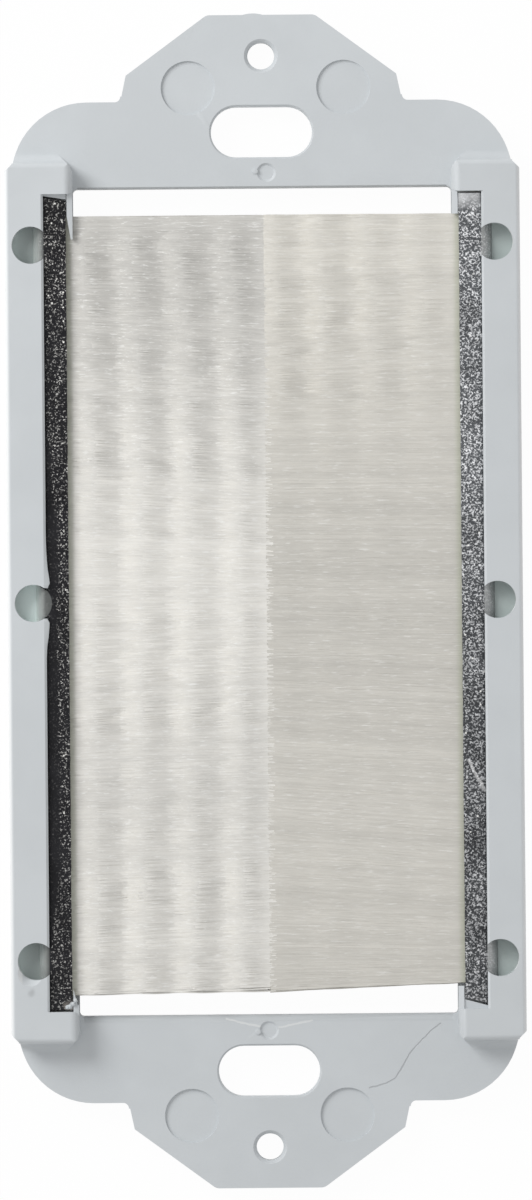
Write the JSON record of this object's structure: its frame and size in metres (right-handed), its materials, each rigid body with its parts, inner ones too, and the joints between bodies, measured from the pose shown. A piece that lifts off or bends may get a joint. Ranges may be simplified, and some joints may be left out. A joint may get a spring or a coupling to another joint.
{
  "type": "brush cable grommet",
  "caption": "Flat moulded strap that closes a wall plate opening round its cables, with a facing pack of clear nylon bristles gripped in a steel channel down each side.",
  "frame": {"origin": "middle of the flat front, on the surface that the insert lies on", "axes": "+X across the insert, +Y along it, +Z out of the raised back"},
  "size_m": [0.0456, 0.1042, 0.005],
  "materials": {
    "moulded_plastic": "satin",
    "dark_zinc": "satin",
    "light_zinc": "satin",
    "wire_steel": "satin",
    "nylon_fibre": "satin"
  },
  "bodies": {
    "root": {"frame": "moulded_plastic", "left_channel": "dark_zinc", "right_channel": "light_zinc", "left_core_wire": "wire_steel", "right_core_wire": "wire_steel", "left_bristles": "nylon_fibre", "right_bristles": "nylon_fibre"}
  },
  "joints": []
}
